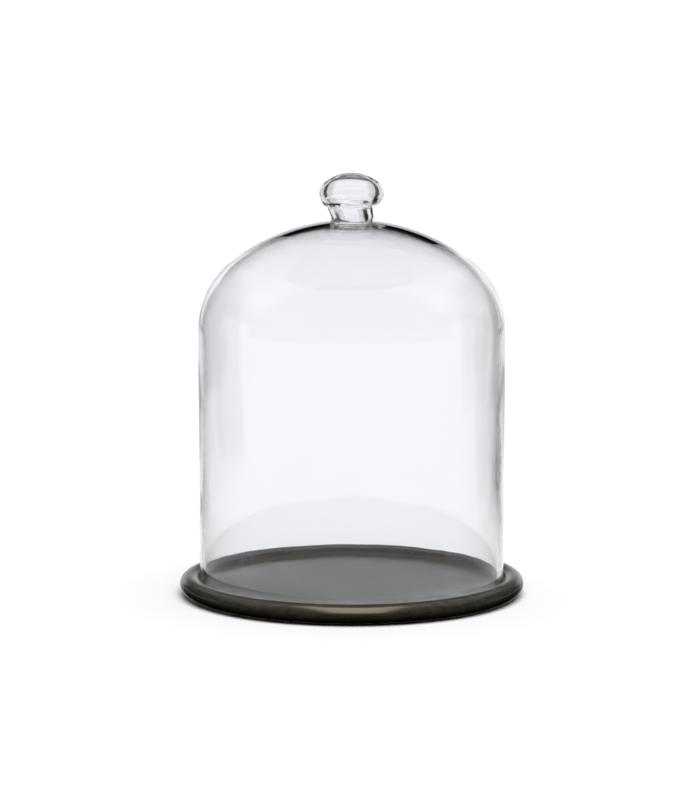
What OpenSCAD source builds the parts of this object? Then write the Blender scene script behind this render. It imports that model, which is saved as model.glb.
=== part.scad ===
// Display bell jar: a lift-off glass dome with a hollow glass knob, standing in the
// recess of a round turned wooden tray with four felt pads under it.
// Millimetres. +Z is up, the axis of the dome is the Z axis, and z = 0 is the
// surface that the felt pads rest on.

/* [Dome glass] */
// Outer diameter of the straight wall at its foot
dome_d = 249.5; // [240:0.5:250.5]
// How much the wall's radius has grown where the shoulder begins
wall_swell = 0.6; // [0:0.1:1]
// Height of the dome's outside from foot to crown
dome_h = 296.6; // [285:0.1:320]
// Height of the straight wall above the foot, up to the shoulder
wall_h = 206.2; // [190:0.1:210]
// Height above the foot at which the wall begins to swell and to get thinner
foot_band_h = 90; // [40:5:120]
// Outer radius of the rounded shoulder
shoulder_r = 71.6; // [65:0.1:74]
// Glass thickness in the lower wall
foot_t = 4.6; // [4:0.1:6]
// Glass thickness at the shoulder
shoulder_t = 3; // [2.5:0.1:3.5]
// Glass thickness at the middle of the crown
crown_t = 4.5; // [4:0.1:6]
// Radius of the melted edges on each side of the foot's flat land
foot_edge_r = 1.4; // [0.5:0.1:1.8]

/* [Knob] */
// Largest diameter of the knob
knob_d = 52.4; // [50:0.1:58]
// Height of the knob's top above the crown
knob_h = 38.4; // [38:0.1:42]
// Height of the knob's widest level above the crown
knob_mid_h = 21.9; // [20:0.1:22.5]
// Radius of the knob's rounded rim
knob_rim_r = 12; // [11:0.5:12.5]
// Diameter of the neck under the knob
neck_top_d = 37; // [34:0.1:38]
// Diameter of the neck just above the crown
neck_foot_d = 33.8; // [32:0.1:36]
// Radius of the hollow fillet where the neck runs out on the crown
neck_fillet_r = 1.5; // [1:0.5:4]
// Diameter of the bore in the neck, open to the inside of the dome
neck_bore_d = 22.6; // [18:0.2:24]
// Radius of the rounded lip where the crown opens into the bore
bore_lip_r = 4; // [2:0.5:4.5]
// Largest diameter of the hollow blown in the knob
hollow_d = 41.2; // [36:0.2:42]
// Height of the hollow's top above the crown
hollow_h = 35.3; // [34:0.1:35.5]
// Radius of the hollow's rounded rim
hollow_rim_r = 9; // [8:0.5:9.5]

/* [Base tray] */
// Outer diameter of the tray
tray_d = 282.4; // [276:0.1:290]
// Thickness of the tray at its rim
rim_h = 15.4; // [14:0.1:16]
// Thickness of the tray's floor
floor_t = 10; // [8:0.5:11]
// Diameter of the recess that the dome stands in
recess_d = 253; // [252:0.1:254]
// Radius of the gentle arch across the top of the rim
rim_arch_r = 12; // [11:0.5:20]
// Radius of the rim's inner edge
rim_edge_r = 1.2; // [0.8:0.1:1.5]

/* [Felt pads] */
// Diameter of a felt pad
pad_d = 22; // [16:1:30]
// Thickness of a felt pad
pad_t = 1.5; // [1:0.1:3]
// Radius of the circle that the pads' centres lie on
pad_ring_r = 108; // [90:1:112]

/* [Hidden] */
$fn = 180;
glass_tint = [0.86, 0.90, 0.92, 0.35];
lacquer_brown = [0.16, 0.14, 0.11];
felt_black = [0.07, 0.07, 0.07];

pad_count = 4;
pad_turn = 45;
pad_turn_each = 360 / pad_count;

// Dome
floor_z = pad_t + floor_t;
crown_z = floor_z + dome_h;
shoulder_z = floor_z + wall_h;
foot_band_z = floor_z + foot_band_h;
foot_r = dome_d / 2;
shoulder_wall_r = foot_r + wall_swell;
inner_foot_r = foot_r - foot_t;
inner_wall_r = shoulder_wall_r - shoulder_t;
inner_shoulder_r = shoulder_r - shoulder_t;
inner_crown_z = crown_z - crown_t;
// Both shoulder arcs have their centres at this distance from the axis
shoulder_x = shoulder_wall_r - shoulder_r;

// The crown is an arc centred on the axis that runs into the shoulder's arc.
// For arcs of radius R and r whose centres lie x apart and h apart in height,
// R - r = h + k with k = apex - shoulder_z - r, and (R - r)^2 = x^2 + h^2.
function crown_gap(apex, r) = apex - shoulder_z - r;
function crown_radius(x, k, r) = r + (k + x * x / k) / 2;
crown_r = crown_radius(shoulder_x, crown_gap(crown_z, shoulder_r), shoulder_r);
crown_centre_z = crown_z - crown_r;
inner_crown_gap = crown_gap(inner_crown_z, inner_shoulder_r);
inner_crown_r = crown_radius(shoulder_x, inner_crown_gap, inner_shoulder_r);
inner_crown_centre_z = inner_crown_z - inner_crown_r;

// Knob
knob_mid_z = crown_z + knob_mid_h;
knob_top_z = crown_z + knob_h;
knob_rim_x = knob_d / 2 - knob_rim_r;
knob_cap_k = knob_h - knob_mid_h - knob_rim_r;
knob_cap_r = crown_radius(knob_rim_x, knob_cap_k, knob_rim_r);
knob_cap_z = knob_top_z - knob_cap_r;
neck_top_r = neck_top_d / 2;
neck_foot_r = neck_foot_d / 2;
neck_drop = sqrt(pow(knob_rim_r, 2) - pow(neck_top_r - knob_rim_x, 2));
neck_top_z = knob_mid_z - neck_drop;
neck_root_z = crown_centre_z + sqrt(pow(crown_r, 2) - pow(neck_foot_r + neck_fillet_r, 2));
// A fillet stops this far before its toe, where the crown's surface has covered it
fillet_trim = 0.3;
neck_bore_r = neck_bore_d / 2;
hollow_rim_x = hollow_d / 2 - hollow_rim_r;
hollow_cap_k = hollow_h - knob_mid_h - hollow_rim_r;
hollow_cap_r = crown_radius(hollow_rim_x, hollow_cap_k, hollow_rim_r);
hollow_cap_z = crown_z + hollow_h - hollow_cap_r;

// Tray
tray_r = tray_d / 2;
recess_r = recess_d / 2;
rim_nose_r = rim_h / 2;
rim_nose_x = tray_r - rim_nose_r;
rim_top_z = pad_t + rim_h;
rim_arch_z = rim_top_z - rim_arch_r;
rim_edge_x = recess_r + rim_edge_r;
rim_edge_z = rim_arch_z
    + sqrt(pow(rim_arch_r - rim_edge_r, 2) - pow(rim_nose_x - rim_edge_x, 2));

// The part of a disc on the axis that lies between the axis and a ray from its
// centre through (x, z); the disc's arc then carries on a smaller one there.
module cap_sector(centre_z, r, x, z) {
    reach = 1.2 * r;
    far = reach / norm([x, z - centre_z]);
    intersection() {
        translate([0, centre_z]) circle(r = r);
        polygon([[0, centre_z],
                 [x * far, centre_z + (z - centre_z) * far],
                 [0, centre_z + reach]]);
    }
}

// Everything under one surface of the bell, as a half section: wall, shoulder, crown
module bell_section(low_r, high_r, arc_r, apex) {
    arc_x = high_r - arc_r;
    cap_r = crown_radius(arc_x, crown_gap(apex, arc_r), arc_r);
    polygon([[0, floor_z], [low_r, floor_z], [low_r, foot_band_z],
             [high_r, shoulder_z], [0, shoulder_z]]);
    intersection() {
        translate([arc_x, shoulder_z]) circle(r = arc_r);
        translate([arc_x, shoulder_z]) square(arc_r + 1);
    }
    cap_sector(apex - cap_r, cap_r, arc_x, shoulder_z);
}

// The foot ring: a flat land between two melted round edges
module foot_section() {
    translate([inner_foot_r + foot_edge_r, floor_z + foot_edge_r]) circle(r = foot_edge_r);
    translate([foot_r - foot_edge_r, floor_z + foot_edge_r]) circle(r = foot_edge_r);
    translate([inner_foot_r + foot_edge_r, floor_z])
        square([foot_t - 2 * foot_edge_r, 2 * foot_edge_r]);
}

// The round hole in the crown: the bore, with a rounded lip on the dome's inside
module mouth_section() {
    lip_x = neck_bore_r + bore_lip_r;
    lip_z = inner_crown_centre_z + sqrt(pow(inner_crown_r, 2) - pow(lip_x, 2)) + bore_lip_r;
    translate([0, shoulder_z]) square([neck_bore_r, crown_z + 1 - shoulder_z]);
    difference() {
        translate([0, shoulder_z]) square([lip_x - fillet_trim, lip_z - shoulder_z]);
        translate([lip_x, lip_z]) circle(r = bore_lip_r);
    }
}

module dome_glass() {
    color(glass_tint) rotate_extrude() {
        difference() {
            bell_section(foot_r, shoulder_wall_r, shoulder_r, crown_z);
            bell_section(inner_foot_r, inner_wall_r, inner_shoulder_r, inner_crown_z);
            mouth_section();
            square([foot_r + 1, floor_z + foot_edge_r]);
        }
        intersection() {
            foot_section();
            square([foot_r + 1, floor_z + foot_edge_r]);
        }
    }
}

// The neck, with its fillet reaching down past the crown's surface
module neck_section() {
    fillet_x = neck_foot_r + neck_fillet_r;
    fillet_z = neck_root_z + neck_fillet_r;
    polygon([[0, crown_centre_z], [neck_foot_r, crown_centre_z],
             [neck_foot_r, fillet_z], [neck_top_r, neck_top_z],
             [knob_rim_x, knob_mid_z], [0, knob_mid_z]]);
    difference() {
        translate([0, crown_centre_z])
            square([fillet_x - fillet_trim, fillet_z - crown_centre_z]);
        translate([fillet_x, fillet_z]) circle(r = neck_fillet_r);
    }
}

// The hollow: the bore up the neck, opening into the space blown in the knob
module hollow_section() {
    translate([0, crown_centre_z]) square([neck_bore_r, knob_mid_z - crown_centre_z]);
    translate([0, knob_mid_z - hollow_rim_r]) square([hollow_rim_x, hollow_rim_r + 1]);
    translate([hollow_rim_x, knob_mid_z]) circle(r = hollow_rim_r);
    cap_sector(hollow_cap_z, hollow_cap_r, hollow_rim_x, knob_mid_z);
}

module dome_knob() {
    color(glass_tint) rotate_extrude() difference() {
        union() {
            translate([knob_rim_x, knob_mid_z]) circle(r = knob_rim_r);
            cap_sector(knob_cap_z, knob_cap_r, knob_rim_x, knob_mid_z);
            translate([0, knob_mid_z - 1]) square([knob_rim_x, 2]);
            neck_section();
        }
        translate([0, crown_centre_z]) circle(r = crown_r);
        hollow_section();
    }
}

// The rim: a full round nose outside, a gentle arch on top, a soft inner edge
module rim_section() {
    translate([rim_nose_x, pad_t + rim_nose_r]) circle(r = rim_nose_r);
    translate([rim_edge_x, rim_edge_z]) circle(r = rim_edge_r);
    translate([recess_r, floor_z - 1])
        square([rim_nose_x - recess_r, rim_edge_z - floor_z + 1]);
    reach = rim_arch_r + 1;
    far = reach / (rim_arch_r - rim_edge_r);
    intersection() {
        translate([rim_nose_x, rim_arch_z]) circle(r = rim_arch_r);
        polygon([[rim_edge_x, rim_edge_z],
                 [rim_nose_x, rim_edge_z],
                 [rim_nose_x, rim_arch_z + reach],
                 [rim_nose_x + (rim_edge_x - rim_nose_x) * far,
                  rim_arch_z + (rim_edge_z - rim_arch_z) * far]]);
    }
}

module base_tray() {
    color(lacquer_brown) rotate_extrude() {
        translate([0, pad_t]) square([rim_nose_x, floor_t]);
        rim_section();
    }
}

module felt_pad(index) {
    color(felt_black) rotate(pad_turn + index * pad_turn_each) translate([pad_ring_r, 0])
        cylinder(d = pad_d, h = pad_t);
}

dome_glass();
dome_knob();
base_tray();
felt_pad(0);  // felt_pad_1
felt_pad(1);  // felt_pad_2
felt_pad(2);  // felt_pad_3
felt_pad(3);  // felt_pad_4
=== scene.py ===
"""A display bell jar: a mouth-blown glass dome with a glass knob, standing in
the recess of a turned and lacquered wooden tray on four felt pads.

Metres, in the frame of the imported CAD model: +Z up, the dome's axis on Z, and
z = 0 where the pads rest. Angles are in degrees until they meet bpy.
"""

import math

import bmesh
import bpy
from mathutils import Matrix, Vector, noise


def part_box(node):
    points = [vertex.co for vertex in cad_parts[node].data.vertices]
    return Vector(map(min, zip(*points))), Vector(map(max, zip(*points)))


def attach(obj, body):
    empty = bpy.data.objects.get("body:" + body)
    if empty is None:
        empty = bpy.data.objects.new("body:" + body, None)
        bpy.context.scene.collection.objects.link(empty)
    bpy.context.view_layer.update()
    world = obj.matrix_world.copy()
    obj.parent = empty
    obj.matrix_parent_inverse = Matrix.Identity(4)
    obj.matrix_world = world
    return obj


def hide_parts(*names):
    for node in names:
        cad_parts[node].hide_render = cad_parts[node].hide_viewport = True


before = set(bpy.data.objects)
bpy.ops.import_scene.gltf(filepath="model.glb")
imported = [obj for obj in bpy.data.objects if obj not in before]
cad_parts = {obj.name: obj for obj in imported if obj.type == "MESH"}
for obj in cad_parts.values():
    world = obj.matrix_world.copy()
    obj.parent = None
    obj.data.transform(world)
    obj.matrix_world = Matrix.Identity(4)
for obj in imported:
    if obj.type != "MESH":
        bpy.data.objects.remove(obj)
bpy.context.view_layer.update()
MM = 0.001


# ---------------------------------------------------------------- camera

CAMERA_DISTANCE = 3.0
CAMERA_ELEVATION = 8.16
CAMERA_LENS = 165.2
CAMERA_SIDE = -1.4 * MM
AIM_HEIGHT = 160.4 * MM


def make_camera():
    """A long lens, a little above the rim of the tray and looking along +Y."""
    data = bpy.data.cameras.new("camera")
    data.lens = CAMERA_LENS
    data.sensor_width = 36.0
    data.clip_end = 200.0
    camera = bpy.data.objects.new("camera", data)
    bpy.context.scene.collection.objects.link(camera)
    tilt = math.radians(CAMERA_ELEVATION)
    camera.location = (
        CAMERA_SIDE,
        -CAMERA_DISTANCE * math.cos(tilt),
        AIM_HEIGHT + CAMERA_DISTANCE * math.sin(tilt),
    )
    camera.rotation_euler = (math.radians(90) - tilt, 0, 0)
    bpy.context.scene.camera = camera


make_camera()


# ---------------------------------------------------------------- sizes

glass_low, glass_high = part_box("dome_glass")
knob_low, knob_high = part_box("dome_knob")
tray_low, tray_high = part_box("base_tray")

# Glass
FOOT_Z = glass_low.z
CROWN_Z = glass_high.z
WALL_R = glass_high.x
WALL_SWELL = 0.6 * MM
FOOT_R = WALL_R - WALL_SWELL
SHOULDER_Z = FOOT_Z + 206.2 * MM
BAND_Z = FOOT_Z + 90 * MM
SHOULDER_R = 71.6 * MM
FOOT_T = 4.6 * MM
SHOULDER_T = 3.0 * MM
CROWN_T = 3.5 * MM
FOOT_EDGE_R = 1.4 * MM
KNOB_R = knob_high.x
KNOB_TOP_Z = knob_high.z
KNOB_MID_Z = CROWN_Z + 21.9 * MM
KNOB_RIM_R = 12 * MM
NECK_TOP_R = 18.5 * MM
NECK_FOOT_R = 16.9 * MM
NECK_FILLET_R = 1.5 * MM
NECK_H = 11 * MM

# The crease under the knob: the knob's arc starts this far outside and above the neck's end
CREASE_X = 0.4 * MM
CREASE_Z = 0.3 * MM

# Inner surface of the hollow neck and knob, (r, height above the crown) in millimetres
HOLLOW = [(19.0, -4.7), (15.6, -4.3), (12.6, -2.9), (10.9, 0.0), (10.5, 4.5), (10.9, 8.6),
          (12.4, 11.8), (15.4, 14.4), (18.8, 17.5), (20.3, 21.9), (19.2, 26.2),
          (16.0, 29.8), (11.0, 32.6), (5.0, 34.2), (0.0, 34.6)]

# Unevenness of the blown glass, from above its true foot. A ripple is (height, waves per
# metre, seed). The inner wall lies off centre toward -X, the crown's inner face sags
# round the neck and slopes by shares of x and y that fade out at SLOPE_R, and the
# hollow's top slopes by a share of y. Inside NECK_ZONE_R, the neck leans toward +X at
# its foot and toward -X below the knob.
TRUE_FOOT_H = 12 * MM
OUTER_RIPPLE = (0.05 * MM, 18, 1.4)
INNER_RIPPLE = (0.13 * MM, 26, 3.1)
INNER_DIMPLES = (0.05 * MM, 70, 5.2)
CROWN_RIPPLE = (0.12 * MM, 34, 8.4)
HOLLOW_RIPPLE = (0.3 * MM, 45, 6.6)
OFF_CENTRE = 0.6 * MM
CROWN_SAG = 0.3 * MM
SAG_START = 14 * MM
SAG_REACH = 60 * MM
CROWN_SLOPE = (0.007, 0.013)
SLOPE_R = 95 * MM
SLOPE_FADE = 40 * MM
HOLLOW_SLOPE = 0.035
LEAN_LOW = 0.9 * MM
LEAN_HIGH = -1.5 * MM
NECK_ZONE_R = 30 * MM

# Tray: its radius is the least half width of its box, and its nose is half an ellipse
# as deep as NOSE_DEPTH and as high as the tray.
TRAY_R = -tray_low.x
TRAY_LOW_Z = tray_low.z
TRAY_TOP_Z = tray_high.z
FLOOR_Z = FOOT_Z
RECESS_R = 126.5 * MM
NOSE_DEPTH = 8.6 * MM
RIM_EDGE_R = 1.2 * MM
RECESS_CORNER_R = 0.8 * MM


# ---------------------------------------------------------------- outlines


def arc(centre, radius, start, end, count):
    """Points on an arc in the (r, z) half plane; 0 degrees is outward and 90 is up."""
    points = []
    for i in range(count + 1):
        a = math.radians(start + (end - start) * i / count)
        points.append((centre[0] + radius * math.cos(a), centre[1] + radius * math.sin(a)))
    return points


def line(a, b, count):
    """Points from a to b, without b."""
    return [
        (a[0] + (b[0] - a[0]) * i / count, a[1] + (b[1] - a[1]) * i / count)
        for i in range(count)
    ]


def ease(t):
    """A smooth step from 0 at t = 0 to 1 at t = 1."""
    t = min(max(t, 0.0), 1.0)
    return t * t * (3 - 2 * t)


def spline(points, count):
    """A smooth curve through the points (Catmull-Rom), count steps to each span. The
    last point is on the axis, and the curve arrives there level."""
    first = tuple(2 * a - b for a, b in zip(points[0], points[1]))
    last = (-points[-2][0], points[-2][1])
    path = [first, *points, last]
    curve = []
    for a, b, c, d in zip(path, path[1:], path[2:], path[3:]):
        for i in range(count):
            t = i / count
            curve.append(tuple(
                0.5 * (2 * q + (r - p) * t + (2 * p - 5 * q + 4 * r - s) * t * t
                       + (3 * q - p - 3 * r + s) * t**3)
                for p, q, r, s in zip(a, b, c, d)
            ))
    curve.append(points[-1])
    return curve


def cap_radius(x, gap, shoulder_r):
    """Radius of the flatter arc that meets a shoulder's arc smoothly and ends on the
    axis, when the shoulder is centred at x and the cap's top is gap above its top."""
    return shoulder_r + (gap + x * x / gap) / 2


def bell_curve(low_r, high_r, shoulder_r, apex, r_end):
    """One surface of the bell from the top of the foot's edge up to radius r_end."""
    start = FOOT_Z + FOOT_EDGE_R
    points = line((low_r, start), (low_r, BAND_Z), 12)
    for i in range(24):
        t = i / 24
        z = BAND_Z + (SHOULDER_Z - BAND_Z) * t
        points.append((low_r + (high_r - low_r) * ease(t), z))
    x = high_r - shoulder_r
    crown_r = cap_radius(x, apex - SHOULDER_Z - shoulder_r, shoulder_r)
    crown_z = apex - crown_r
    meet = math.degrees(math.atan2(SHOULDER_Z - crown_z, x))
    points += arc((x, SHOULDER_Z), shoulder_r, 0, meet, 40)[:-1]
    last = math.degrees(math.acos(r_end / crown_r))
    points += arc((0, crown_z), crown_r, meet, last, 48)
    return points, crown_z


def knob_curve(crown_r, crown_z):
    """From the crown up the neck and over the knob to the axis."""
    fillet_x = NECK_FOOT_R + NECK_FILLET_R
    fillet_z = crown_z + math.sqrt((crown_r + NECK_FILLET_R) ** 2 - fillet_x**2)
    leave = math.degrees(math.atan2(fillet_z - crown_z, fillet_x)) - 180
    points = arc((fillet_x, fillet_z), NECK_FILLET_R, leave, -180, 8)
    rim_x = KNOB_R - KNOB_RIM_R
    under = math.degrees(math.acos((NECK_TOP_R + CREASE_X - rim_x) / KNOB_RIM_R))
    rim = arc((rim_x, KNOB_MID_Z), KNOB_RIM_R, -under, 0, 20)
    points += line(points[-1], (NECK_TOP_R, rim[0][1] - CREASE_Z), 14)[1:]
    points.append((NECK_TOP_R, rim[0][1] - CREASE_Z))
    points += rim[:-1]
    cap_r = cap_radius(rim_x, KNOB_TOP_Z - KNOB_MID_Z - KNOB_RIM_R, KNOB_RIM_R)
    cap_z = KNOB_TOP_Z - cap_r
    meet = math.degrees(math.atan2(KNOB_MID_Z - cap_z, rim_x))
    points += arc((rim_x, KNOB_MID_Z), KNOB_RIM_R, 0, meet, 20)[:-1]
    points += arc((0, cap_z), cap_r, meet, 90, 28)
    return points


# ---------------------------------------------------------------- mesh


# A radius under this is a point on the axis
ON_AXIS = 1e-7


def lathe(name, outline, segments, shape=None):
    """A smooth closed mesh turned from (r, z) points that start and end on the axis.
    shape((x, y, z), index) moves each point a little, as in a hand-worked piece; index
    is the point's place in the outline."""
    mesh = bpy.data.meshes.new(name)
    bm = bmesh.new()
    rings = []
    for index, (r, z) in enumerate(outline):
        if r < ON_AXIS:
            spots = [(0.0, 0.0, z)]
        else:
            spots = []
            for s in range(segments):
                a = 2 * math.pi * s / segments
                spots.append((r * math.cos(a), r * math.sin(a), z))
        if shape:
            spots = [shape(p, index) for p in spots]
        rings.append([bm.verts.new(p) for p in spots])
    for low, high in zip(rings, rings[1:]):
        for s in range(segments):
            t = (s + 1) % segments
            if len(low) == 1:
                bm.faces.new((low[0], high[t], high[s]))
            elif len(high) == 1:
                bm.faces.new((low[s], low[t], high[0]))
            else:
                bm.faces.new((low[s], low[t], high[t], high[s]))
    bmesh.ops.recalc_face_normals(bm, faces=bm.faces)
    bm.to_mesh(mesh)
    bm.free()
    for polygon in mesh.polygons:
        polygon.use_smooth = True
    piece = bpy.data.objects.new(name, mesh)
    bpy.context.scene.collection.objects.link(piece)
    return piece


# ---------------------------------------------------------------- materials


def new_material(name):
    """A material with its node tree and its Principled shader."""
    material = bpy.data.materials.new(name)
    material.use_nodes = True
    tree = material.node_tree
    return material, tree, tree.nodes["Principled BSDF"]


def node(tree, kind, **settings):
    """A new node with these properties."""
    made = tree.nodes.new(kind)
    for key, value in settings.items():
        setattr(made, key, value)
    return made


def noise_texture(tree, scale, stretch, detail=3.0):
    """Noise in the object's own metres, stretched along X by the given factor."""
    where = node(tree, "ShaderNodeTexCoord")
    mapping = node(tree, "ShaderNodeMapping")
    mapping.inputs["Scale"].default_value = (1 / stretch, 1, 1)
    texture = node(tree, "ShaderNodeTexNoise")
    texture.inputs["Scale"].default_value = scale
    texture.inputs["Detail"].default_value = detail
    tree.links.new(where.outputs["Object"], mapping.inputs["Vector"])
    tree.links.new(mapping.outputs["Vector"], texture.inputs["Vector"])
    return texture.outputs["Fac"]


def two_tone(tree, shader, pattern, dark, light):
    """Base colour from dark to light over the middle of the pattern's range."""
    ramp = node(tree, "ShaderNodeValToRGB")
    ramp.color_ramp.elements[0].position = 0.35
    ramp.color_ramp.elements[1].position = 0.65
    ramp.color_ramp.elements[0].color = (*dark, 1)
    ramp.color_ramp.elements[1].color = (*light, 1)
    tree.links.new(pattern, ramp.inputs["Fac"])
    tree.links.new(ramp.outputs["Color"], shader.inputs["Base Color"])


def bumps(tree, shader, pattern, strength, depth):
    """The pattern as a relief, depth in metres."""
    bump = node(tree, "ShaderNodeBump")
    bump.inputs["Strength"].default_value = strength
    bump.inputs["Distance"].default_value = depth
    tree.links.new(pattern, bump.inputs["Height"])
    tree.links.new(bump.outputs["Normal"], shader.inputs["Normal"])


def glass_material():
    """Clear glass with the faint swell and the faint unevenness of tint of blown glass."""
    material, tree, shader = new_material("blown_glass")
    two_tone(tree, shader, noise_texture(tree, 20, 1), (0.940, 0.948, 0.960), (0.947, 0.954, 0.965))
    bumps(tree, shader, noise_texture(tree, 45, 1), 0.03, 1 * MM)
    shader.inputs["Roughness"].default_value = 0.0
    shader.inputs["IOR"].default_value = 1.5
    shader.inputs["Transmission Weight"].default_value = 1.0
    return material


def wood_material():
    """Dark stained wood under lacquer: faint grain along X, and a slightly uneven gloss."""
    material, tree, shader = new_material("lacquered_wood")
    grain = noise_texture(tree, 260, 14, 5.0)
    two_tone(tree, shader, grain, (0.013, 0.0125, 0.0105), (0.0235, 0.0228, 0.019))
    gloss = node(tree, "ShaderNodeMapRange")
    gloss.inputs["To Min"].default_value = 0.18
    gloss.inputs["To Max"].default_value = 0.27
    tree.links.new(noise_texture(tree, 60, 3), gloss.inputs["Value"])
    tree.links.new(gloss.outputs["Result"], shader.inputs["Roughness"])
    bumps(tree, shader, grain, 0.08, 0.2 * MM)
    return material


def felt_material():
    """Black felt: short matted fibres."""
    material, tree, shader = new_material("black_felt")
    fibres = noise_texture(tree, 2500, 2, 4.0)
    two_tone(tree, shader, fibres, (0.010, 0.010, 0.010), (0.030, 0.030, 0.031))
    bumps(tree, shader, fibres, 0.6, 0.3 * MM)
    shader.inputs["Roughness"].default_value = 1.0
    shader.inputs["Sheen Weight"].default_value = 0.2
    return material


# ---------------------------------------------------------------- the glass


def ripple(p, kind):
    """Smooth noise at point p, from one of the ripples above."""
    height, rate, seed = kind
    return height * noise.noise(Vector(p) * rate + Vector((seed, 2.7 * seed, -1.3 * seed)))


def wavy_glass(inner_end):
    """The little unevennesses of blown glass, as a shape function for lathe. Points of
    the outline before inner_end are on the inner surface. The foot's edge stays true."""

    def shape(p, index):
        x, y, z = p
        r = math.hypot(x, y)
        inner = index < inner_end
        free = ease((z - FOOT_Z) / TRUE_FOOT_H)
        above = z - CROWN_Z
        # 0 on the bell and 1 in the neck and knob, from 7 to 1 mm below the crown's top
        neck = ease((above + 7 * MM) / (6 * MM))
        dx = dr = dz = 0.0
        if inner:
            dx -= OFF_CENTRE * free * (1 - neck)
            dr += ripple(p, INNER_RIPPLE) * free
            dr += ripple((x, y, 0.5 * z), INNER_DIMPLES) * free
            # the sag starts beside the bore at -X and farther out toward +X
            start = SAG_START * (1 + x / max(r, MM))
            top = (1 - ease((r - start) / SAG_REACH)) * (1 - neck)
            dz += (ripple(p, CROWN_RIPPLE) - CROWN_SAG) * top
            wide = ease((SLOPE_R - r) / SLOPE_FADE) * (1 - neck)
            dz -= (CROWN_SLOPE[0] * x + CROWN_SLOPE[1] * y) * wide
        else:
            dr += ripple(p, OUTER_RIPPLE) * free
        if above > -8 * MM and r < NECK_ZONE_R:
            # the lean grows over the neck's foot, changes hand and ends under the knob
            lean = ease(above / (3 * MM)) * (1 - ease((above - NECK_H) / (6 * MM)))
            low = 1 - ease(above / (12 * MM))
            dx += lean * (LEAN_LOW * low + LEAN_HIGH * (1 - low))
            if inner:
                dr += ripple(p, HOLLOW_RIPPLE) * ease((above - 8 * MM) / (10 * MM))
                dz -= HOLLOW_SLOPE * y * ease((above - 20 * MM) / (10 * MM))
        scale = 1 + dr / max(r, 5 * MM)
        return (x * scale + dx, y * scale, z + dz)

    return shape


def make_glass():
    """The bell, neck and knob as one closed mesh, its inner surface first in the outline."""
    crown_r = cap_radius(WALL_R - SHOULDER_R, CROWN_Z - SHOULDER_Z - SHOULDER_R, SHOULDER_R)
    fillet_share = crown_r / (crown_r + NECK_FILLET_R)
    neck_reach = (NECK_FOOT_R + NECK_FILLET_R) * fillet_share
    inner_foot_r = FOOT_R - FOOT_T
    outside, crown_z = bell_curve(FOOT_R, WALL_R, SHOULDER_R, CROWN_Z, neck_reach)
    inside, _ = bell_curve(
        inner_foot_r, WALL_R - SHOULDER_T, SHOULDER_R - SHOULDER_T, CROWN_Z - CROWN_T,
        HOLLOW[0][0] * MM,
    )
    hollow = [(r * MM, CROWN_Z + z * MM) for r, z in spline(HOLLOW, 8)]
    inside = inside[:-1] + hollow
    foot = arc((inner_foot_r + FOOT_EDGE_R, FOOT_Z + FOOT_EDGE_R), FOOT_EDGE_R, 180, 270, 8)
    foot += arc((FOOT_R - FOOT_EDGE_R, FOOT_Z + FOOT_EDGE_R), FOOT_EDGE_R, -90, 0, 8)
    outline = inside[::-1][:-1] + foot[:-1] + outside + knob_curve(crown_r, crown_z)[1:]
    glass = lathe("bell_and_knob", outline, 256, wavy_glass(len(inside) - 1))
    glass.data.materials.append(glass_material())
    # Clear glass casts no shadow; the contact shadow on the floor is the tray's
    glass.visible_shadow = False
    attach(glass, "dome")
    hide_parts("dome_glass", "dome_knob")


# ---------------------------------------------------------------- the tray


def make_tray():
    """From the underside's centre over the round nose and the rim down to the floor;
    rings on the flat faces keep their shading flat."""
    half = (TRAY_TOP_Z - TRAY_LOW_Z) / 2
    nose_x = TRAY_R - NOSE_DEPTH
    middle = TRAY_LOW_Z + half
    outline = [(0.0, TRAY_LOW_Z)]
    outline += line((20 * MM, TRAY_LOW_Z), (nose_x, TRAY_LOW_Z), 10)
    for i in range(49):
        a = math.radians(-90 + 180 * i / 48)
        outline.append((nose_x + NOSE_DEPTH * math.cos(a), middle + half * math.sin(a)))
    edge_x = RECESS_R + RIM_EDGE_R
    drop = half - half * math.sqrt(1 - ((nose_x - edge_x) / NOSE_DEPTH) ** 2)
    for i in range(1, 9):
        t = i / 8
        x = nose_x + (edge_x - nose_x) * t
        z = middle + half * math.sqrt(1 - ((nose_x - x) / NOSE_DEPTH) ** 2)
        outline.append((x, z))
    outline += arc((edge_x, TRAY_TOP_Z - drop - RIM_EDGE_R), RIM_EDGE_R, 100, 180, 8)[1:]
    corner = (RECESS_R - RECESS_CORNER_R, FLOOR_Z + RECESS_CORNER_R)
    outline += arc(corner, RECESS_CORNER_R, 0, -90, 6)
    outline += line((RECESS_R - 3 * MM, FLOOR_Z), (10 * MM, FLOOR_Z), 14)
    outline.append((0.0, FLOOR_Z))
    tray = lathe("turned_tray", outline, 256)
    tray.data.materials.append(wood_material())
    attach(tray, "base")
    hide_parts("base_tray")
    return tray


# ---------------------------------------------------------------- the pads


def make_pads():
    """Four stiff felt discs with a rounded lower edge, glued under the tray."""
    felt = felt_material()
    for index in range(1, 5):
        low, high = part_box(f"felt_pad_{index}")
        centre = (low + high) / 2
        radius = (high.x - low.x) / 2
        thick = high.z - low.z
        round_r = 0.4 * thick
        outline = [(0.0, low.z)]
        outline += line((radius * 0.3, low.z), (radius - round_r, low.z), 6)
        outline += arc((radius - round_r, low.z + round_r), round_r, -90, 0, 5)
        outline += [(radius, high.z), (radius * 0.5, high.z), (0.0, high.z)]
        pad = lathe(f"felt_disc_{index}", outline, 64)
        pad.location = (centre.x, centre.y, 0)
        pad.data.materials.append(felt)
        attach(pad, "base")
        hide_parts(f"felt_pad_{index}")


# ---------------------------------------------------------------- the studio

# A photographer's flags: sheets behind and beside the object that draw the grey and dark
# lines in the glass's edges, neck and knob. The camera itself doesn't see them.

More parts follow.
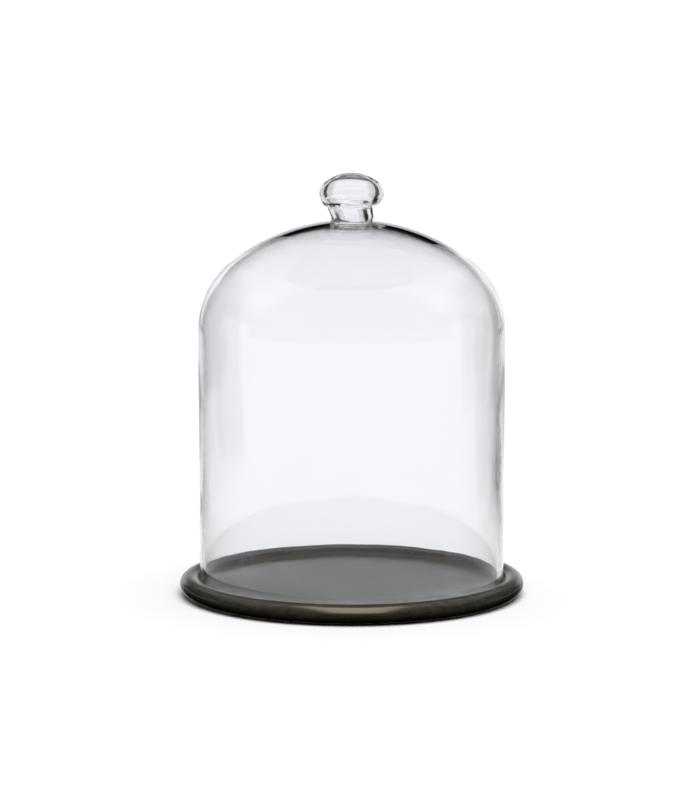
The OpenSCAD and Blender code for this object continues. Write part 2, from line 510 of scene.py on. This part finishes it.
# The cards on the floor: azimuths from, to (degrees, anticlockwise from +X), soft edge,
# radii from, to, length of the fade at the near end, and grey level
CARDS = {
    "right_card": (48, 67, 4, 0.25, 2.4, 0.3, 0.75),
    "left_card": (113, 130, 4, 0.25, 2.4, 0.3, 0.75),
    "right_low": (12, 58, 5, 0.4, 1.9, 0.3, 0.02),
    "left_low": (122, 163, 5, 0.85, 1.9, 0.2, 0.02),
}

# The dark sides of the room beyond the edges of the white sweep, at either hand:
# X of the inner edge and of the wall, Y from, to on the floor and on the wall, height
SIDE_X = (0.95, 2.0)
SIDE_FLOOR_Y = (0.25, 2.6)
SIDE_WALL_Y = (0.45, 4.0)
SIDE_HEIGHT = 2.2
DARK_GREY = 0.02
# and of the near walls, which only reflections see
NEAR_WALL_Y = (-1.4, 0.8)
NEAR_WALL_HEIGHT = 1.4
# Lengths of the fades at the floor's and walls' ends and at the floor's inner edge
SIDE_FLOOR_FADES = (0.15, 0.4)
SIDE_WALL_FADES = (0.15, 0.6)
SIDE_INNER_FADE = 0.12

# Grey wings close beside the glass, on the floor and up the backdrop, which shade its
# edges: X of the inner edge at Y = 0 and its spread with Y, X of the outer edge, Y from,
# to, height, grey level, and the fades at the inner edge, the near end and the top
WING_X = 0.15
WING_SPREAD = 0.1
WING_OUTER_X = 1.3
WING_Y = (0.1, 2.0)
WING_HEIGHT = 0.85
WING_GREY = 0.8
WING_FADE = 0.09
WING_NEAR_FADE = 0.25
WING_TOP_FADE = 0.15

# The dark header over the backdrop: half width, Y, Z from, to, and the fades at its
# hands and at its lower and upper edge
HEADER_X = 1.5
HEADER_Y = 2.0
HEADER_Z = (0.72, 4.2)
HEADER_SIDE_FADE = 0.5
HEADER_FADES = (0.1, 0.4)

# Brightness of the room: levels by the sine of the elevation, the two Y (of a direction)
# between which it fades in, and the share left before that. The backdrop is lit up to
# about 12 degrees, everywhere but toward the camera's side. The sweep is the lit floor
# as reflections see it, 2 to 20 degrees below the horizon and only straight ahead.
# Overhead is the lit room from about 20 degrees up, everywhere but in front.
BACKDROP = ([(-0.06, 0.0), (-0.03, 1.0), (0.2, 1.0), (0.235, 0.01), (1.0, 0.01)],
            (-0.16, -0.115), 0.1)
SWEEP = ([(-0.4, 0.0), (-0.3, 0.9), (-0.06, 0.9), (-0.03, 0.0)], (0.85, 0.97), 0.0)
OVERHEAD = ([(0.34, 0.0), (0.44, 0.25), (0.56, 0.5), (1.0, 0.5)], (-0.3, -0.08), 0.05)
SKY_TINT = (0.96, 0.97, 1.0)
SKY_STRENGTH = 1.05

# The white floor's radius, the soft sun and the warm softbox over the front of the tray
FLOOR_REACH = 60
FILL_ENERGY = 3.1
FILL_SOFTNESS = 60
FILL_TURN = (25, 0, 15)
KEY_SPOT = (0.05, -0.75, 1.4)
KEY_SIZE = (1.1, 2.6)
KEY_ENERGY = 46
KEY_TINT = (1.0, 0.9, 0.62)


def steps(low, high, count):
    """count + 1 even values from low to high."""
    return [low + (high - low) * i / count for i in range(count + 1)]


def between(value, reach, fades):
    """1 inside the reach (low, high), fading to 0 at its ends over the two lengths."""
    return ease((value - reach[0]) / fades[0]) * ease((reach[1] - value) / fades[1])


def make_floor():
    """A pale matt floor that fills the picture; the lacquer and the glass's polish
    reflect the sweep in its place."""
    mesh = bpy.data.meshes.new("floor")
    bm = bmesh.new()
    bmesh.ops.create_circle(bm, cap_ends=True, radius=FLOOR_REACH, segments=96)
    bm.to_mesh(mesh)
    bm.free()
    floor = bpy.data.objects.new("floor", mesh)
    bpy.context.scene.collection.objects.link(floor)
    material, tree, shader = new_material("floor")
    shader.inputs["Base Color"].default_value = (0.9, 0.9, 0.9, 1)
    shader.inputs["Roughness"].default_value = 0.9
    shader.inputs["Specular IOR Level"].default_value = 0.0
    floor.data.materials.append(material)
    floor.visible_glossy = False
    floor.visible_diffuse = False


def flag(name, grid, grey):
    """A sheet through a grid of (x, y, z, cover) that only glass and lacquer show, as
    dark as cover says and clear for the rest."""
    mesh = bpy.data.meshes.new(name)
    bm = bmesh.new()
    cover = bm.verts.layers.float.new("cover")
    rows = []
    for line_of_spots in grid:
        row = []
        for x, y, z, share in line_of_spots:
            v = bm.verts.new((x, y, z))
            v[cover] = share
            row.append(v)
        rows.append(row)
    for low, high in zip(rows, rows[1:]):
        for a, b, c, d in zip(low, low[1:], high[1:], high):
            bm.faces.new((a, b, c, d))
    bm.to_mesh(mesh)
    bm.free()
    sheet = bpy.data.objects.new(name, mesh)
    bpy.context.scene.collection.objects.link(sheet)
    material = bpy.data.materials.new(name)
    material.use_nodes = True
    tree = material.node_tree
    tree.nodes.clear()
    out = node(tree, "ShaderNodeOutputMaterial")
    mix = node(tree, "ShaderNodeMixShader")
    clear = node(tree, "ShaderNodeBsdfTransparent")
    dark = node(tree, "ShaderNodeEmission")
    dark.inputs["Color"].default_value = (grey, grey, grey, 1)
    share = node(tree, "ShaderNodeAttribute", attribute_name="cover")
    tree.links.new(share.outputs["Fac"], mix.inputs[0])
    tree.links.new(clear.outputs[0], mix.inputs[1])
    tree.links.new(dark.outputs[0], mix.inputs[2])
    tree.links.new(mix.outputs[0], out.inputs["Surface"])
    mesh.materials.append(material)
    sheet.visible_camera = False
    sheet.visible_diffuse = False
    sheet.visible_shadow = False
    return sheet


def make_card(name, start, end, soft, near, far, fade, grey):
    """A card on the floor between two azimuths and two radii, soft at all but its far edge."""
    grid = []
    for r in steps(near, far, 24):
        row = []
        for degrees in steps(start, end, 32):
            a = math.radians(degrees)
            share = ease(min(degrees - start, end - degrees) / soft) * ease((r - near) / fade)
            row.append((r * math.cos(a), r * math.sin(a), 2 * MM, share))
        grid.append(row)
    flag(name, grid, grey)


def spread(inner, outer):
    """Values from inner to outer that lie closest together at the inner end."""
    return [inner + (outer - inner) * (c / 24) ** 2 for c in range(25)]


def side_wall(hand, reach, height):
    """The grid of an upright sheet at the outer X of one side, soft at its ends and top."""
    grid = []
    for y in steps(*reach, 40):
        ends = between(y, reach, SIDE_WALL_FADES)
        grid.append([
            (hand * SIDE_X[1], y, height * c / 8, ends * ease((8 - c) / 3)) for c in range(9)
        ])
    return grid


def make_side(name, hand):
    """The dark floor and walls on one hand, +1 right or -1 left of the sweep."""
    inner, outer = SIDE_X
    grid = []
    for y in steps(*SIDE_FLOOR_Y, 40):
        ends = between(y, SIDE_FLOOR_Y, SIDE_FLOOR_FADES)
        grid.append([
            (hand * x, y, 3 * MM, ends * ease((x - inner) / SIDE_INNER_FADE))
            for x in spread(inner, outer)
        ])
    flag(name + "_floor", grid, DARK_GREY)
    flag(name + "_wall", side_wall(hand, SIDE_WALL_Y, SIDE_HEIGHT), DARK_GREY)
    near = flag(name + "_near_wall", side_wall(hand, NEAR_WALL_Y, NEAR_WALL_HEIGHT), DARK_GREY)
    near.visible_transmission = False


def make_wing(name, hand):
    """The grey wing on one hand, for the rays that the edges of the glass bend outward."""
    near, far = WING_Y
    grid = []
    for y in steps(near, far, 40):
        inner = WING_X + WING_SPREAD * y
        end = ease((y - near) / WING_NEAR_FADE)
        grid.append([
            (hand * x, y, 1 * MM, ease((x - inner) / WING_FADE) * end)
            for x in spread(inner, WING_OUTER_X)
        ])
    flag(name + "_floor", grid, WING_GREY).visible_glossy = False
    inner = WING_X + WING_SPREAD * far
    grid = []
    for z in steps(0, WING_HEIGHT, 16):
        end = ease((WING_HEIGHT - z) / WING_TOP_FADE)
        grid.append([
            (hand * x, far - 1 * MM, z, ease((x - inner) / WING_FADE) * end)
            for x in spread(inner, WING_OUTER_X)
        ])
    flag(name + "_back", grid, WING_GREY).visible_glossy = False


def make_header():
    """Only what the glass bends upward sees the header; its polish reflects the room."""
    grid = []
    for z in steps(*HEADER_Z, 24):
        ends = between(z, HEADER_Z, HEADER_FADES)
        grid.append([
            (x, HEADER_Y, z, ends * ease((HEADER_X - abs(x)) / HEADER_SIDE_FADE))
            for x in steps(-HEADER_X, HEADER_X, 32)
        ])
    header = flag("header", grid, DARK_GREY)
    header.visible_glossy = False


def sky_part(tree, split, levels, limits, least):
    """Brightness by elevation from levels, times a smooth step from least to 1 in Y
    between the limits."""
    rise = node(tree, "ShaderNodeMapRange")
    rise.inputs["From Min"].default_value = -1.0
    ramp = node(tree, "ShaderNodeValToRGB")
    elements = ramp.color_ramp.elements
    while len(elements) < len(levels):
        elements.new(0.5)
    for element, (at, level) in zip(elements, levels):
        element.position = (at + 1) / 2
        element.color = (*(level * tint for tint in SKY_TINT), 1)
    ahead = node(tree, "ShaderNodeMapRange", interpolation_type="SMOOTHSTEP")
    ahead.inputs["From Min"].default_value = limits[0]
    ahead.inputs["From Max"].default_value = limits[1]
    ahead.inputs["To Min"].default_value = least
    both = node(tree, "ShaderNodeMix", data_type="RGBA", blend_type="MULTIPLY")
    both.inputs["Factor"].default_value = 1.0
    tree.links.new(split.outputs["Z"], rise.inputs["Value"])
    tree.links.new(rise.outputs["Result"], ramp.inputs["Fac"])
    tree.links.new(split.outputs["Y"], ahead.inputs["Value"])
    tree.links.new(ramp.outputs["Color"], both.inputs["A"])
    tree.links.new(ahead.outputs["Result"], both.inputs["B"])
    return both.outputs["Result"]


def make_world():
    """The room around the studio, as the sum of its three lit parts."""
    world = bpy.data.worlds.new("studio")
    bpy.context.scene.world = world
    world.use_nodes = True
    tree = world.node_tree
    background = tree.nodes["Background"]
    where = node(tree, "ShaderNodeTexCoord")
    split = node(tree, "ShaderNodeSeparateXYZ")
    tree.links.new(where.outputs["Generated"], split.inputs[0])
    total = None
    for lit in (BACKDROP, SWEEP, OVERHEAD):
        part = sky_part(tree, split, *lit)
        if total:
            both = node(tree, "ShaderNodeMix", data_type="RGBA", blend_type="ADD")
            both.inputs["Factor"].default_value = 1.0
            tree.links.new(total, both.inputs["A"])
            tree.links.new(part, both.inputs["B"])
            part = both.outputs["Result"]
        total = part
    tree.links.new(total, background.inputs["Color"])
    background.inputs["Strength"].default_value = SKY_STRENGTH


def only_lights(light, *targets):
    """The light falls on these objects alone."""
    group = bpy.data.collections.new(light.name + "_targets")
    for target in targets:
        group.objects.link(target)
    light.light_linking.receiver_collection = group


def make_lights(tray):
    """A soft sun for the floor and the pieces, and a warm softbox in front of the tray
    that draws the long highlight on its rim."""
    data = bpy.data.lights.new("fill", "SUN")
    data.energy = FILL_ENERGY
    data.angle = math.radians(FILL_SOFTNESS)
    fill = bpy.data.objects.new("fill", data)
    fill.rotation_euler = [math.radians(turn) for turn in FILL_TURN]
    fill.visible_glossy = False
    fill.visible_transmission = False
    bpy.context.scene.collection.objects.link(fill)

    data = bpy.data.lights.new("key", "AREA")
    data.shape = "RECTANGLE"
    data.size, data.size_y = KEY_SIZE
    data.energy = KEY_ENERGY
    data.color = KEY_TINT
    key = bpy.data.objects.new("key", data)
    key.location = KEY_SPOT
    aim = Vector((0, 0, 0)) - key.location
    key.rotation_euler = aim.to_track_quat("-Z", "Y").to_euler()
    bpy.context.scene.collection.objects.link(key)
    only_lights(key, tray)


make_glass()
tray = make_tray()
make_pads()
make_floor()
for name, card in CARDS.items():
    make_card(name, *card)
make_side("right_side", 1)
make_side("left_side", -1)
make_wing("right_wing", 1)
make_wing("left_wing", -1)
make_header()
make_world()
make_lights(tray)

scene = bpy.context.scene
scene.view_settings.view_transform = "Standard"
scene.view_settings.look = "None"
scene.cycles.max_bounces = 32
scene.cycles.transmission_bounces = 24
scene.cycles.glossy_bounces = 12
scene.cycles.caustics_refractive = False
